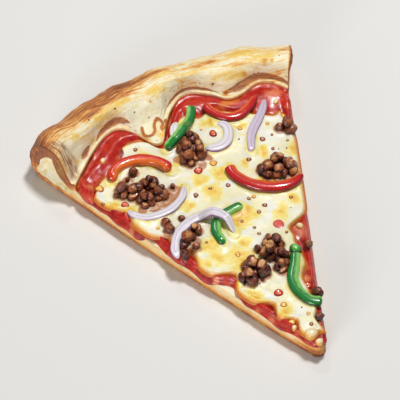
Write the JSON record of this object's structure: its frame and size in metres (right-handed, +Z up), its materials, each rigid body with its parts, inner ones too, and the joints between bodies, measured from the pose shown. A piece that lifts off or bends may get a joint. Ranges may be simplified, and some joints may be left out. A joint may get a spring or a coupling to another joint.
{
  "type": "sicilian pizza slice",
  "caption": "Triangular slice of a round pizza with a thin base, rolled rim, tomato sauce, melted cheese, pepper strips, onion slices and heaps of ground beef.",
  "frame": {"origin": "on the flat underside, on the slice's middle line, below the middle of its length", "axes": "+Y from the tip to the middle of the rim, +Z up out of the toppings, +X across the slice"},
  "size_m": [0.1347, 0.1726, 0.0267],
  "materials": {
    "crust": "baked dough, matte and floury, golden brown skin and cream crumb",
    "tomato_sauce": "cooked tomato sauce, moist and glossy",
    "melted_cheese": "melted cheese, soft sheen, yellow and orange where it browned",
    "red_pepper": "roasted red pepper, glossy skin",
    "green_pepper": "green pepper, glossy skin",
    "onion": "cooked red onion, moist, white with a lilac edge",
    "ground_beef": "fried ground beef, brown, slightly greasy"
  },
  "bodies": {
    "root": {"dough": "crust", "sauce": "tomato_sauce", "cheese": "melted_cheese", "red_pepper_1": "red_pepper", "red_pepper_2": "red_pepper", "red_pepper_3": "red_pepper", "green_pepper_1": "green_pepper", "green_pepper_2": "green_pepper", "green_pepper_3": "green_pepper", "onion_1": "onion", "onion_2": "onion", "onion_3": "onion", "onion_4": "onion", "onion_5": "onion", "beef_1": "ground_beef", "beef_2": "ground_beef", "beef_3": "ground_beef", "beef_4": "ground_beef", "beef_5": "ground_beef", "beef_6": "ground_beef", "beef_7": "ground_beef"}
  },
  "joints": []
}
